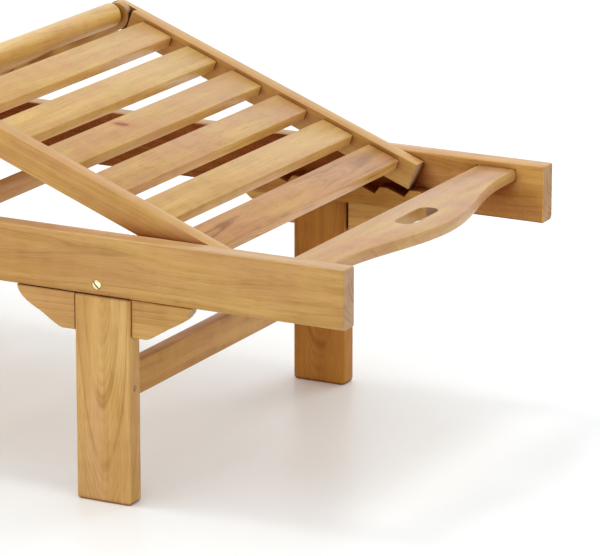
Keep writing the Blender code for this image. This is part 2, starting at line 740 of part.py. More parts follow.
def thigh_panel(hinge):
    """Seat section from the seat hinge to the knee; local X runs to the knee."""
    starts = [THIGH_REACH - FIRST_SLAT - SLAT_WIDTH - SLAT_PITCH * k for k in range(THIGH_SLATS)]
    for label, side in SIDES.items():
        name = f"thigh_rail_{label}"
        low, high = span(PANEL_INNER, PANEL_OUTER, side)
        bm = prism_mesh(panel_outline(0.0, THIGH_REACH, True, True), "XZ", low, high, PANEL_EASE, 2)
        rail = finished(name, bm, wood(name, 0.97), hinge)
        across = span(PANEL_INNER - PANEL_RAIL_THICK, PANEL_OUTER + PANEL_RAIL_THICK, side)
        cuts = slat_mortises(starts, PANEL_INNER, side)
        cuts.append(rod_mesh(HINGE_ROD_RADIUS + JOINT_GAP, *across))
        carve(rail, f"{name}_cuts", cuts, hinge)
        carve(rail, f"{name}_lap", [knuckle_cut(PANEL_MIDDLE, False, THIGH_REACH, 1, side)], hinge)
        bore = rod_mesh(KNEE_PIN_RADIUS + RUN_GAP, *across, THIGH_REACH)
        carve(rail, f"{name}_knee_bore", [bore], hinge)
    slats("thigh", starts, PANEL_INNER, hinge, 1)
    hinge_rod("seat_hinge_rod", hinge)


def hinge_rod(name, hinge):
    """Dowel across the frame on which a panel turns in the side rails."""
    reach = RAIL_INNER + HINGE_ROD_BITE
    finished(name, rod_mesh(HINGE_ROD_RADIUS, -reach, reach), wood(name, 0.92), hinge)


def calf_panel(knee):
    """Leg section from the knee to the foot end; local X runs to the foot."""
    starts = [FIRST_SLAT + SLAT_PITCH * k for k in range(CALF_SLATS)]
    foot = CALF_REACH + FOOT_OVERHANG
    for label, side in SIDES.items():
        name = f"calf_rail_{label}"
        low, high = span(PANEL_INNER, PANEL_OUTER, side)
        bm = prism_mesh(panel_outline(0.0, foot, True, False), "XZ", low, high, PANEL_EASE, 2)
        rail = finished(name, bm, wood(name, 1.02), knee)
        carve(rail, f"{name}_cuts", slat_mortises(starts, PANEL_INNER, side), knee)
        carve(rail, f"{name}_lap", [knuckle_cut(PANEL_MIDDLE, True, 0.0, -1, side)], knee)
        across = span(PANEL_INNER - PANEL_RAIL_THICK, PANEL_OUTER + PANEL_RAIL_THICK, side)
        carve(rail, f"{name}_knee_bore", [rod_mesh(KNEE_PIN_RADIUS + JOINT_GAP, *across)], knee)
    slats("calf", starts, PANEL_INNER, knee, 2)
    shoulder = PANEL_INNER - KNEE_BAR_SHOULDER
    end = PANEL_OUTER
    ease = KNEE_PIN_RADIUS / 4
    profile = [
        (-end, 0.0),
        (-end, KNEE_PIN_RADIUS),
        (-shoulder, KNEE_PIN_RADIUS),
        (-shoulder, KNEE_BAR_RADIUS - ease),
        (-shoulder + ease, KNEE_BAR_RADIUS),
        (shoulder - ease, KNEE_BAR_RADIUS),
        (shoulder, KNEE_BAR_RADIUS - ease),
        (shoulder, KNEE_PIN_RADIUS),
        (end, KNEE_PIN_RADIUS),
        (end, 0.0),
    ]
    finished("knee_bar", turned_mesh(profile, (0, 0, 0)), wood("knee_bar", 1.05), knee)


def backrest(hinge):
    """Backrest; local X runs to the foot end, so the panel lies on the negative side."""
    starts = [-BACK_FIRST_SLAT - SLAT_WIDTH - SLAT_PITCH * k for k in range(BACK_SLATS)]
    for label, side in SIDES.items():
        name = f"back_rail_{label}"
        low, high = span(BACK_INNER, BACK_OUTER, side)
        bm = prism_mesh(panel_outline(-BACK_LENGTH, 0.0, False, True), "XZ", low, high, PANEL_EASE, 2)
        rail = finished(name, bm, wood(name, 0.99), hinge)
        across = span(BACK_INNER - PANEL_RAIL_THICK, BACK_OUTER + PANEL_RAIL_THICK, side)
        cuts = slat_mortises(starts, BACK_INNER, side)
        cuts.append(rod_mesh(HINGE_ROD_RADIUS + JOINT_GAP, *across))
        carve(rail, f"{name}_cuts", cuts, hinge)
        peg = span(BACK_OUTER - PROP_PEG_BITE, ARM_OUTER, side)
        weld(rail, f"{name}_peg", [rod_mesh(PROP_PEG_RADIUS, *peg, -PROP_REACH)], hinge)
    slats("back", starts, BACK_INNER, hinge, 1)
    hinge_rod("back_hinge_rod", hinge)


def prop(joint):
    """Prop frame of the backrest; local X runs to the foot end, its arms lie on the negative side."""
    half = PROP_ARM_HEIGHT / 2
    outline = []
    for end_x, start in ((0.0, -math.pi / 2), (-PROP_REACH, math.pi / 2)):
        for step in range(END_STEPS + 1):
            angle = start + math.pi * step / END_STEPS
            outline.append((end_x + half * math.cos(angle), half * math.sin(angle)))
    for label, side in SIDES.items():
        name = f"prop_arm_{label}"
        low, high = span(ARM_INNER, ARM_OUTER, side)
        arm = finished(name, prism_mesh(outline, "XZ", low, high, BOARD_EASE), wood(name, 0.94), joint)
        across = span(ARM_INNER - PROP_ARM_THICK, ARM_OUTER + PROP_ARM_THICK, side)
        pin = rod_mesh(PROP_PEG_RADIUS + RUN_GAP, *across)
        bar = rod_mesh(PROP_BAR_RADIUS + JOINT_GAP, *across, -PROP_REACH)
        carve(arm, f"{name}_bores", [pin, bar], joint)
    reach = RAIL_INNER - PROP_BAR_SIDE_GAP
    bar = rod_mesh(PROP_BAR_RADIUS, -reach, reach, -PROP_REACH)
    finished("prop_bar", bar, wood("prop_bar", 0.96), joint)


def wheel(label, side, axle):
    """Turned wooden wheel with a thinner web and a longer hub."""
    outer = LEG_INNER - WHEEL_SIDE_GAP
    middle = (outer - HUB_WIDTH / 2) * side
    rim, web, hub = WHEEL_WIDTH / 2, WHEEL_WEB / 2, HUB_WIDTH / 2
    tread = RAIL_EDGE_ROUND
    inside = WHEEL_RADIUS - WHEEL_RIM
    bore = AXLE_END_RADIUS + RUN_GAP
    half = [
        (hub, bore),
        (hub, HUB_RADIUS),
        (web, HUB_RADIUS + tread),
        (web, inside - tread),
        (rim, inside),
        (rim, WHEEL_RADIUS - tread),
        (rim - tread, WHEEL_RADIUS),
    ]
    profile = half + [(-y, r) for y, r in reversed(half)]
    name = f"wheel_{label}"
    finished(name, turned_mesh(profile, (0.0, middle, 0.0), WHEEL_SIDES), wood(name, 0.88), axle)


def wheel_axle():
    """Turned axle with slim ends that carry the wheels and sit in the head legs."""
    shoulder = LEG_INNER - 2 * WHEEL_SIDE_GAP - HUB_WIDTH
    end = LEG_INNER + AXLE_BITE
    profile = [
        (-end, 0.0),
        (-end, AXLE_END_RADIUS),
        (-shoulder, AXLE_END_RADIUS),
        (-shoulder, AXLE_RADIUS),
        (shoulder, AXLE_RADIUS),
        (shoulder, AXLE_END_RADIUS),
        (end, AXLE_END_RADIUS),
        (end, 0.0),
    ]
    bm = turned_mesh(profile, (LEG_HEAD_X, 0.0, WHEEL_RADIUS))
    finished("wheel_axle", bm, wood("wheel_axle", 0.9))


def build():
    clear_scene()
    for label, side in SIDES.items():
        side_rail(label, side)
        leg(label, side, LEG_FOOT_X, "floor")
        leg(label, side, LEG_HEAD_X, "wheel")
        for leg_x in (LEG_FOOT_X, LEG_HEAD_X):
            for hand in (1, -1):
                tight = (hand > 0) != (side > 0)
                bracket(label, side, leg_x, hand, tight)
        leg_bolt(label, side)
        foot_rack(label, side)
        back_rack(label, side)
    handle_board()
    cross_board("foot_stretcher", LEG_FOOT_X, stretcher_section(), LEG_INNER, 0.88)
    cross_board("centre_tie", tie_middle(), tie_section(), RAIL_INNER, 0.9)
    cross_board("head_board", head_middle(), head_section(), RAIL_INNER, 1.0)
    wheel_axle()
    axle = pivot("axle_axis", (LEG_HEAD_X, 0.0, WHEEL_RADIUS), 0.0)
    for label, side in SIDES.items():
        wheel(label, side, axle)
    seat = pivot("seat_axis", (SEAT_X, 0.0, PIVOT_HEIGHT), -THIGH_ANGLE)
    thigh_panel(seat)
    knee = pivot("knee_axis", (THIGH_REACH, 0.0, 0.0), THIGH_ANGLE + CALF_ANGLE, seat)
    calf_panel(knee)
    back = pivot("back_axis", (BACK_X, 0.0, PIVOT_HEIGHT), 0.0)
    backrest(back)
    prop(pivot("prop_axis", (-PROP_REACH, 0.0, 0.0), 0.0, back))


build()
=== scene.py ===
import json
import math

import bmesh
import bpy
from mathutils import Matrix, Vector


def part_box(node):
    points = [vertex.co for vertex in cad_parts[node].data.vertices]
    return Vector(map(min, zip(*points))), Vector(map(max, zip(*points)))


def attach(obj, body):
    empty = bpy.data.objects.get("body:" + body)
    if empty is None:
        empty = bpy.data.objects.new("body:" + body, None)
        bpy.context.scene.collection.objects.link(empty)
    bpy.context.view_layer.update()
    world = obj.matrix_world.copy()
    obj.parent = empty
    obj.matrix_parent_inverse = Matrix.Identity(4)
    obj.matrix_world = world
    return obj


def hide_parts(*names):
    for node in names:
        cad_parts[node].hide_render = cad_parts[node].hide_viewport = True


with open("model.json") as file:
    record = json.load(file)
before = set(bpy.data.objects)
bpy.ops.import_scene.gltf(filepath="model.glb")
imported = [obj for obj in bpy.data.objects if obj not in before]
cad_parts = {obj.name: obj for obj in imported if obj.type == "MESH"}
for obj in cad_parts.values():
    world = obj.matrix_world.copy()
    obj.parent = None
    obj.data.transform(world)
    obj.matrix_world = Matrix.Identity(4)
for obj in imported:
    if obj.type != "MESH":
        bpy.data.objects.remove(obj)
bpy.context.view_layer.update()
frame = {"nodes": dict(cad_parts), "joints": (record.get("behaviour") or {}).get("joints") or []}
nodes = frame["nodes"]
joints = {joint["name"]: joint for joint in frame["joints"]}
print("frame loaded:", len(nodes), "nodes")


# node helpers

def feed(tree, socket, value):
    # link the socket to another one, or set it to a plain value
    if isinstance(value, bpy.types.NodeSocket):
        tree.links.new(value, socket)
    else:
        socket.default_value = value


def put(tree, kind, sockets=None, **settings):
    made = tree.nodes.new(kind)
    for key, value in settings.items():
        setattr(made, key, value)
    for key, value in (sockets or {}).items():
        feed(tree, made.inputs[key], value)
    return made


def calc(tree, operation, first, second=0.0, third=0.0):
    made = put(tree, "ShaderNodeMath", {0: first, 1: second, 2: third}, operation=operation)
    return made.outputs[0]


def vectorCalc(tree, operation, first, second):
    made = put(tree, "ShaderNodeVectorMath", {0: first, 1: second}, operation=operation)
    return made.outputs["Value" if operation == "DOT_PRODUCT" else "Vector"]


def remap(tree, value, low, high, toLow=0.0, toHigh=1.0):
    sockets = {"Value": value, "From Min": low, "From Max": high, "To Min": toLow, "To Max": toHigh}
    return put(tree, "ShaderNodeMapRange", sockets, interpolation_type="SMOOTHSTEP").outputs["Result"]


def speckle(tree, vector, scale, detail):
    return put(tree, "ShaderNodeTexNoise", {"Vector": vector, "Scale": scale, "Detail": detail}).outputs[0]


def stretchNoise(tree, vector, scale, detail=2.0, roughness=0.5):
    # noise drawn out along the board: scale holds cycles per metre along, across and through it
    spread = vectorCalc(tree, "MULTIPLY", vector, scale)
    sockets = {"Vector": spread, "Scale": 1.0, "Detail": detail, "Roughness": roughness}
    return put(tree, "ShaderNodeTexNoise", sockets)


def mixColour(tree, share, first, second, blend="MIX"):
    made = put(tree, "ShaderNodeMix", data_type="RGBA", blend_type=blend)
    for number, value in ((0, share), (6, first), (7, second)):  # the colour sockets are 6 and 7
        feed(tree, made.inputs[number], value)
    return made.outputs[2]


def newGroup(name, inputs, outputs):
    group = bpy.data.node_groups.new(name, "ShaderNodeTree")
    for label, kind, value in inputs:
        socket = group.interface.new_socket(label, in_out="INPUT", socket_type="NodeSocket" + kind)
        socket.default_value = value
    for label, kind in outputs:
        group.interface.new_socket(label, in_out="OUTPUT", socket_type="NodeSocket" + kind)
    return group, group.nodes.new("NodeGroupInput").outputs, group.nodes.new("NodeGroupOutput").inputs


def rgb(red, green, blue):
    return (red, green, blue, 1.0)


# growth rings cut by the board, and marks that run along the grain;
# scales are cycles per metre along, across and through the board
grainLook = {
    "seedShift": (3.17, 1.73, 2.41),  # metres for each unit of seed
    "driftScale": (5.0, 20.0, 20.0),
    "unevenScale": (3.0, 26.0, 26.0),
    "unevenShare": 0.7,  # of a ring's width
    "lateWood": (0.1, 0.9),  # where in a ring it darkens
    "lateWoodShare": 0.3,
    "line": (0.66, 0.9),
    "lineShare": 0.7,
    "lineEnd": (1.0, 0.94),
    "faintestYear": 0.3,
    "fadeScale": (9.0, 45.0, 45.0),
    "fade": (0.3, 0.62),
    "faintestPlace": 0.3,
    "finerLines": 4.6,  # in a ring
    "finerLine": (0.25, 0.8),
    "finerShare": 0.5,
    "finerEnd": (1.0, 0.86),
    "finerFade": (0.36, 0.6),
}
grainMarks = {
    "Streaks": {"scale": (4.0, 62.0, 62.0), "detail": 3.0, "roughness": 0.55, "range": (0.34, 0.66)},
    "Fibres": {"scale": (17.0, 420.0, 420.0), "detail": 2.0, "roughness": 0.6, "range": (0.42, 0.7)},
    "Pores": {"scale": (62.0, 640.0, 640.0), "detail": 1.0, "roughness": 0.5, "range": (0.58, 0.7)},
    "Patches": {"scale": (7.0, 34.0, 34.0), "detail": 2.0, "roughness": 0.5, "range": (0.35, 0.65)},
    "Curl": {"scale": (38.0, 16.0, 16.0), "detail": 1.0, "roughness": 0.5, "range": (0.35, 0.65)},
}
grainMasks = ("Rings", *grainMarks)


def makeGrainGroup():
    group, given, result = newGroup(
        "board grain",
        [
            ("Vector", "Vector", (0, 0, 0)),
            ("Seed", "Float", 0.0),
            ("Ring Width", "Float", 0.005),
            ("Pith Depth", "Float", 0.06),
            ("Pith Side", "Float", 0.0),
            ("Lean", "Float", 0.04),
            ("Wander", "Float", 0.004),
        ],
        [(mask, "Float") for mask in grainMasks],
    )
    shift = put(group, "ShaderNodeCombineXYZ")
    for axis, step in zip("XYZ", grainLook["seedShift"]):
        group.links.new(calc(group, "MULTIPLY", given["Seed"], step), shift.inputs[axis])
    seeded = vectorCalc(group, "ADD", given["Vector"], shift.outputs[0])

    # place in the board, bent so that the rings wander
    drift = stretchNoise(group, seeded, grainLook["driftScale"]).outputs["Color"]
    swaying = {0: vectorCalc(group, "ADD", drift, (-0.5, -0.5, -0.5)), "Scale": given["Wander"]}
    sway = put(group, "ShaderNodeVectorMath", swaying, operation="SCALE").outputs[0]
    bent = vectorCalc(group, "ADD", given["Vector"], sway)
    place = put(group, "ShaderNodeSeparateXYZ", {0: bent}).outputs

    # rings counted outwards from the pith
    aside = calc(group, "SUBTRACT", place["Y"], given["Pith Side"])
    leaning = calc(group, "MULTIPLY_ADD", place["X"], given["Lean"], given["Pith Depth"])
    above = calc(group, "ADD", place["Z"], leaning)
    squares = calc(group, "ADD", calc(group, "POWER", aside, 2.0), calc(group, "POWER", above, 2.0))
    even = calc(group, "DIVIDE", calc(group, "SQRT", squares), given["Ring Width"])
    uneven = stretchNoise(group, seeded, grainLook["unevenScale"], 1.0).outputs[0]
    count = calc(group, "MULTIPLY_ADD", uneven, grainLook["unevenShare"], even)
    within = calc(group, "FRACT", count)
    whole = calc(group, "FLOOR", count)
    year = put(group, "ShaderNodeTexWhiteNoise", {"W": whole}, noise_dimensions="1D").outputs["Value"]

    # each ring darkens to its line, fainter in some years and places
    lineEnd = remap(group, within, *grainLook["lineEnd"])
    line = calc(group, "MULTIPLY", remap(group, within, *grainLook["line"]), lineEnd)
    late = remap(group, within, *grainLook["lateWood"], 0.0, grainLook["lateWoodShare"])
    drawn = calc(group, "MULTIPLY", line, grainLook["lineShare"])
    lateWood = calc(group, "MULTIPLY_ADD", late, lineEnd, drawn)
    fade = stretchNoise(group, seeded, grainLook["fadeScale"], 1.0).outputs[0]
    byYear = remap(group, year, 0.0, 1.0, grainLook["faintestYear"], 1.0)
    byPlace = remap(group, fade, *grainLook["fade"], grainLook["faintestPlace"], 1.0)
    strength = calc(group, "MULTIPLY", byYear, byPlace)

    # finer lines between the rings
    finer = calc(group, "FRACT", calc(group, "MULTIPLY", count, grainLook["finerLines"]))
    finerLine = remap(group, finer, *grainLook["finerLine"], 0.0, grainLook["finerShare"])
    finerWhole = calc(group, "MULTIPLY", finerLine, remap(group, finer, *grainLook["finerEnd"]))
    shown = calc(group, "MULTIPLY", finerWhole, remap(group, fade, *grainLook["finerFade"]))
    group.links.new(calc(group, "MULTIPLY_ADD", lateWood, strength, shown), result["Rings"])

    wavy = vectorCalc(group, "ADD", seeded, sway)
    for mask, mark in grainMarks.items():
        path = seeded if mask == "Curl" else wavy  # curl crosses the grain
        noise = stretchNoise(group, path, mark["scale"], mark["detail"], mark["roughness"]).outputs[0]
        group.links.new(remap(group, noise, *mark["range"]), result[mask])
    return group


# a knot: a dark core with a ruddy halo drawn out along the grain
knotLook = {
    "raggedScale": 180.0,
    "raggedDetail": 2.0,
    "fray": 0.9,
    "core": (1.05, 0.7),  # in knot sizes from the middle
    "coreShare": 0.95,
    "coreColour": (0.24, 0.055, 0.01),
    "halo": (2.6, 0.9),
    "haloShare": 0.75,
    "haloColour": (0.5, 0.18, 0.04),
}


def makeKnotGroup():
    group, given, result = newGroup(
        "knot",
        [
            ("Vector", "Vector", (0, 0, 0)),
            ("Centre", "Vector", (0, 0, 0)),
            ("Length", "Float", 0.012),
            ("Width", "Float", 0.005),
            ("Turn", "Float", 0.0),
        ],
        [("Core", "Float"), ("Halo", "Float")],
    )
    away = vectorCalc(group, "SUBTRACT", given["Vector"], given["Centre"])
    turning = {"Vector": away, "Angle": given["Turn"]}
    turned = put(group, "ShaderNodeVectorRotate", turning, rotation_type="Z_AXIS").outputs[0]
    parts = put(group, "ShaderNodeSeparateXYZ", {0: turned}).outputs
    along = calc(group, "POWER", calc(group, "DIVIDE", parts["X"], given["Length"]), 2.0)
    across = calc(group, "POWER", calc(group, "DIVIDE", parts["Y"], given["Width"]), 2.0)
    reach = calc(group, "SQRT", calc(group, "ADD", along, across))
    ragged = speckle(group, given["Vector"], knotLook["raggedScale"], knotLook["raggedDetail"])
    torn = calc(group, "MULTIPLY_ADD", ragged, knotLook["fray"], -knotLook["fray"] / 2)
    frayed = calc(group, "ADD", reach, torn)
    group.links.new(remap(group, frayed, *knotLook["core"]), result["Core"])
    group.links.new(remap(group, frayed, *knotLook["halo"]), result["Halo"])
    return group


# share of a face that is cut across the grain
endFacing = (0.75, 0.95)


def makeEndGroup():
    group, given, result = newGroup(
        "end grain",
        [("Normal", "Vector", (0, 0, 1)), ("Along", "Vector", (1, 0, 0))],
        [("End", "Float")],
    )
    facing = calc(group, "ABSOLUTE", vectorCalc(group, "DOT_PRODUCT", given["Normal"], given["Along"]))
    group.links.new(remap(group, facing, *endFacing), result["End"])
    return group


# share of a face that looks up, where sanding and use have polished it; the same share carries the painted
# top tone
polishLook = {"up": (0.4, 0.8), "coat": (0.2, 0.8)}  # ranges of the normal's height


def makePolishGroup():
    group, given, result = newGroup(
        "polish",
        [
            ("Normal", "Vector", (0, 0, 1)),
            ("Corner Shade", "Float", 0.0),
            ("Least", "Float", 0.2),
            ("Most", "Float", 0.6),
        ],
        [("Coat", "Float"), ("Up", "Float")],
    )
    height = put(group, "ShaderNodeSeparateXYZ", {0: given["Normal"]}).outputs["Z"]
    group.links.new(remap(group, height, *polishLook["up"]), result["Up"])
    coat = remap(group, height, *polishLook["coat"], given["Least"], given["Most"])
    outOfCorners = calc(group, "SUBTRACT", 1.0, given["Corner Shade"])
    group.links.new(calc(group, "MULTIPLY", coat, outOfCorners), result["Coat"])
    return group


# arrises darkened towards brown, more so at a board's ends
arrisLook = {
    "samples": 4,
    "bend": (0.995, 0.86),  # dot product of the softened and the plain normal
    "patchScale": 60.0,
    "patchDetail": 3.0,
    "patches": (0.3, 0.62),
    "leastDark": 0.35,
    "endLean": (0.12, 0.35),  # how far that normal leans along the board
}


def makeArrisGroup():
    group, given, result = newGroup(
        "dark arrises",
        [("Vector", "Vector", (0, 0, 0)), ("Along", "Vector", (1, 0, 0)), ("Reach", "Float", 0.0012)],
        [("Edge", "Float"), ("End Edge", "Float")],
    )
    soft = put(group, "ShaderNodeBevel", {"Radius": given["Reach"]}, samples=arrisLook["samples"]).outputs[0]
    plain = put(group, "ShaderNodeNewGeometry").outputs["Normal"]
    same = vectorCalc(group, "DOT_PRODUCT", soft, plain)
    patchy = speckle(group, given["Vector"], arrisLook["patchScale"], arrisLook["patchDetail"])
    darkArris = remap(group, patchy, *arrisLook["patches"], arrisLook["leastDark"], 1.0)
    edge = calc(group, "MULTIPLY", remap(group, same, *arrisLook["bend"]), darkArris)
    group.links.new(edge, result["Edge"])
    toBoard = {"vector_type": "NORMAL", "convert_from": "WORLD", "convert_to": "OBJECT"}
    own = put(group, "ShaderNodeVectorTransform", {0: soft}, **toBoard).outputs[0]
    leans = calc(group, "ABSOLUTE", vectorCalc(group, "DOT_PRODUCT", own, given["Along"]))
    atEnd = remap(group, leans, *arrisLook["endLean"])
    group.links.new(calc(group, "MULTIPLY", edge, atEnd), result["End Edge"])
    return group


# painted shade in corners and gaps, deeper where the surroundings close in; where a corner tone is pale it
# paints light there instead
cornerShadeSamples = 8


def makeCornerShadeGroup():
    group, given, result = newGroup(
        "painted corner shade",
        [("Reach", "Float", 0.1), ("Open", "Float", 0.86), ("Closed", "Float", 0.34)],
        [("Corner Shade", "Float")],
    )
    reach = {"Distance": given["Reach"]}
    bare = put(group, "ShaderNodeAmbientOcclusion", reach, samples=cornerShadeSamples).outputs["AO"]
    group.links.new(remap(group, bare, given["Open"], given["Closed"]), result["Corner Shade"])
    return group


# colour, gloss and relief of oiled wood from the masks above, with painted light and shade on tops, in
# corners and in gaps
toneLook = {
    "curlShare": 0.22,
    "endColour": (0.4, 0.28, 0.2),
    "endShare": 0.6,
    "endRingShare": 0.6,
    "edgeShare": 0.25,
    "endEdgeShare": 0.35,
    "satin": 0.43,
    "ringSatin": -0.07,
    "poreRoughness": 0.12,
    "endRoughness": 0.2,
    "poreHeight": -0.6,
    "ringHeight": 0.3,
    "streakHeight": 0.25,
}


def makeToneGroup():
    group, given, result = newGroup(
        "oiled tone",
        [
            *((mask, "Float", 0.0) for mask in grainMasks),
            ("Up", "Float", 0.0),
            ("End", "Float", 0.0),
            ("Edge", "Float", 0.0),
            ("End Edge", "Float", 0.0),
            ("Corner Shade", "Float", 0.0),
            ("Pale", "Color", rgb(0.6, 0.4, 0.2)),
            ("Honey", "Color", rgb(0.5, 0.3, 0.1)),
            ("Brown", "Color", rgb(0.3, 0.15, 0.05)),
            ("Rose", "Color", rgb(0.5, 0.28, 0.13)),
            ("Ring Share", "Float", 0.4),
            ("Rose Share", "Float", 0.4),
            ("Fibre Share", "Float", 0.3),
            ("Fleck Share", "Float", 0.3),
            ("Corner Share", "Float", 1.0),
            ("Corner Tone", "Color", rgb(0.6, 0.42, 0.3)),
            ("Gap Shade Tone", "Color", rgb(1.0, 1.0, 1.0)),
            ("Painted Top Tone", "Color", rgb(1.0, 1.0, 1.0)),
        ],
        [("Colour", "Color"), ("Roughness", "Float"), ("Height", "Float")],
    )

    def times(first, second):
        return calc(group, "MULTIPLY", first, second)

    ground = mixColour(group, given["Streaks"], given["Honey"], given["Pale"])
    rosy = mixColour(group, times(given["Patches"], given["Rose Share"]), ground, given["Rose"])
    drawn = mixColour(group, times(given["Fibres"], given["Fibre Share"]), rosy, given["Brown"])
    ringed = mixColour(group, times(given["Rings"], given["Ring Share"]), drawn, given["Brown"])
    pored = mixColour(group, times(given["Pores"], given["Fleck Share"]), ringed, given["Brown"])
    curled = mixColour(group, times(given["Curl"], toneLook["curlShare"]), pored, given["Pale"])
    endWood = mixColour(group, toneLook["endShare"], curled, rgb(*toneLook["endColour"]))
    endRings = mixColour(group, times(given["Rings"], toneLook["endRingShare"]), endWood, given["Brown"])
    ended = mixColour(group, given["End"], curled, endRings)
    # painted light and shade on faces that look up
    topPainted = mixColour(group, given["Up"], ended, given["Painted Top Tone"], "MULTIPLY")
    edgeDark = times(given["Edge"], toneLook["edgeShare"])
    arrisDark = calc(group, "MULTIPLY_ADD", given["End Edge"], toneLook["endEdgeShare"], edgeDark)
    darkArris = mixColour(group, arrisDark, topPainted, given["Brown"])
    # painted shade in corners, painted light where the corner tone is pale
    dim = times(given["Corner Shade"], given["Corner Share"])
    cornerPainted = mixColour(group, dim, darkArris, given["Corner Tone"], "MULTIPLY")
    gapShade = times(given["Corner Shade"], given["End"])  # painted shade on an end in a narrow gap
    gapped = mixColour(group, gapShade, cornerPainted, given["Gap Shade Tone"], "MULTIPLY")
    group.links.new(gapped, result["Colour"])

    satin = calc(group, "MULTIPLY_ADD", given["Rings"], toneLook["ringSatin"], toneLook["satin"])
    rough = calc(group, "ADD", satin, times(given["Pores"], toneLook["poreRoughness"]))
    rougher = calc(group, "MULTIPLY_ADD", given["End"], toneLook["endRoughness"], rough)
    group.links.new(rougher, result["Roughness"])
    ridges = times(given["Rings"], toneLook["ringHeight"])
    pitted = calc(group, "MULTIPLY_ADD", given["Pores"], toneLook["poreHeight"], ridges)
    relief = calc(group, "MULTIPLY_ADD", given["Streaks"], toneLook["streakHeight"], pitted)
    group.links.new(relief, result["Height"])
    return group


groups = {
    "grain": makeGrainGroup(),
    "knot": makeKnotGroup(),
    "end": makeEndGroup(),
    "polish": makePolishGroup(),
    "arris": makeArrisGroup(),
    "corner": makeCornerShadeGroup(),
    "tone": makeToneGroup(),
}
print("shader groups:", ", ".join(groups))


# wood as one board shows it; each piece overrides what differs on it
plainWood = {
    "pale": (0.63, 0.385, 0.11),
    "honey": (0.5, 0.275, 0.058),
    "brown": (0.27, 0.098, 0.009),
    "rose": (0.53, 0.262, 0.1),
    "tint": (1.0, 1.0, 1.0),
    "ringWidth": 0.0045,
    "pithDepth": 0.02,
    "pithSide": 0.05,
    "lean": 0.03,
    "wander": 0.006,
    "ringShare": 0.3,
    "roseShare": 0.45,
    "fibreShare": 0.13,
    "fleckShare": 0.2,
    # the corner values paint shade into corners and gaps, and the top tone paints light and shade on faces
    # that look up
    "cornerShare": 0.7,
    "paintedCornerTone": (0.6, 0.42, 0.3),
    "cornerReach": 0.1,
    "cornerRange": (0.86, 0.34),
    "gapShadeTone": (0.12, 0.05, 0.025),
    "paintedTopTone": (1.0, 1.0, 1.0),
    "sheen": (0.2, 0.62),
    "coatRoughness": 0.3,
    "gloss": 0.2,
    "bump": 0.12,
    "bumpDepth": 0.0006,
    "knots": [],
    "ruddy": None,
}
woodColours = ("pale", "honey", "brown", "rose")


def useGroup(tree, key, sockets):
    return put(tree, "ShaderNodeGroup", sockets, node_tree=groups[key]).outputs


def woodMaterial(name, seed, centre, axes, look):
    # axes are the board's length, width and thickness directions
    wood = {**plainWood, **look}
    made = bpy.data.materials.new(name)
    made.use_nodes = True
    tree = made.node_tree
    shader = tree.nodes["Principled BSDF"]
    turn = Matrix(axes)
    place = put(tree, "ShaderNodeTexCoord").outputs
    onBoard = put(tree, "ShaderNodeMapping", {
        "Vector": place["Object"],
        "Location": -(turn @ Vector(centre)),
        "Rotation": turn.to_euler("XYZ"),
    }).outputs[0]
    grain = useGroup(tree, "grain", {
        "Vector": onBoard,
        "Seed": seed,
        "Ring Width": wood["ringWidth"],
        "Pith Depth": wood["pithDepth"],
        "Pith Side": wood["pithSide"],
        "Lean": wood["lean"],
        "Wander": wood["wander"],
    })
    end = useGroup(tree, "end", {"Normal": place["Normal"], "Along": axes[0]})
    edge = useGroup(tree, "arris", {"Vector": onBoard, "Along": axes[0]})
    corner = useGroup(tree, "corner", {
        "Reach": wood["cornerReach"],
        "Open": wood["cornerRange"][0],
        "Closed": wood["cornerRange"][1],
    })
    polish = useGroup(tree, "polish", {
        "Normal": place["Normal"],
        "Corner Shade": corner["Corner Shade"],
        "Least": wood["sheen"][0],
        "Most": wood["sheen"][1],
    })
    tone = useGroup(tree, "tone", {
        **{mask: grain[mask] for mask in grainMasks},
        "Up": polish["Up"],
        "End": end["End"],
        "Edge": edge["Edge"],
        "End Edge": edge["End Edge"],
        "Corner Shade": corner["Corner Shade"],
        **{key.title(): rgb(*(c * t for c, t in zip(wood[key], wood["tint"]))) for key in woodColours},
        "Ring Share": wood["ringShare"],
        "Rose Share": wood["roseShare"],
        "Fibre Share": wood["fibreShare"],
        "Fleck Share": wood["fleckShare"],
        "Corner Share": wood["cornerShare"],
        "Corner Tone": rgb(*wood["paintedCornerTone"]),
        "Gap Shade Tone": rgb(*wood["gapShadeTone"]),
        "Painted Top Tone": rgb(*wood["paintedTopTone"]),
    })
    colour = tone["Colour"]
    for knot in wood["knots"]:
        mark = useGroup(tree, "knot", {
            "Vector": onBoard,
            "Centre": knot["at"],
            "Length": knot["length"],
            "Width": knot["width"],
            "Turn": math.radians(knot["turn"]),
        })
        halo = calc(tree, "MULTIPLY", mark["Halo"], knotLook["haloShare"])
        core = calc(tree, "MULTIPLY", mark["Core"], knotLook["coreShare"])
        colour = mixColour(tree, halo, colour, rgb(*knotLook["haloColour"]))
        colour = mixColour(tree, core, colour, rgb(*knotLook["coreColour"]))
    if wood["ruddy"]:  # one stretch of the board is redder than the rest
        along = put(tree, "ShaderNodeSeparateXYZ", {0: onBoard}).outputs["X"]
        stretch = remap(tree, along, wood["ruddy"]["from"], wood["ruddy"]["to"])
        colour = mixColour(tree, stretch, colour, rgb(*wood["ruddy"]["tone"]), "MULTIPLY")
    tree.links.new(colour, shader.inputs["Base Color"])
    tree.links.new(tone["Roughness"], shader.inputs["Roughness"])
    tree.links.new(polish["Coat"], shader.inputs["Coat Weight"])
    shader.inputs["Coat Roughness"].default_value = wood["coatRoughness"]
    shader.inputs["Specular IOR Level"].default_value = wood["gloss"]
    raised = {"Height": tone["Height"], "Strength": wood["bump"], "Distance": wood["bumpDepth"]}
    tree.links.new(put(tree, "ShaderNodeBump", raised).outputs[0], shader.inputs["Normal"])
    return made


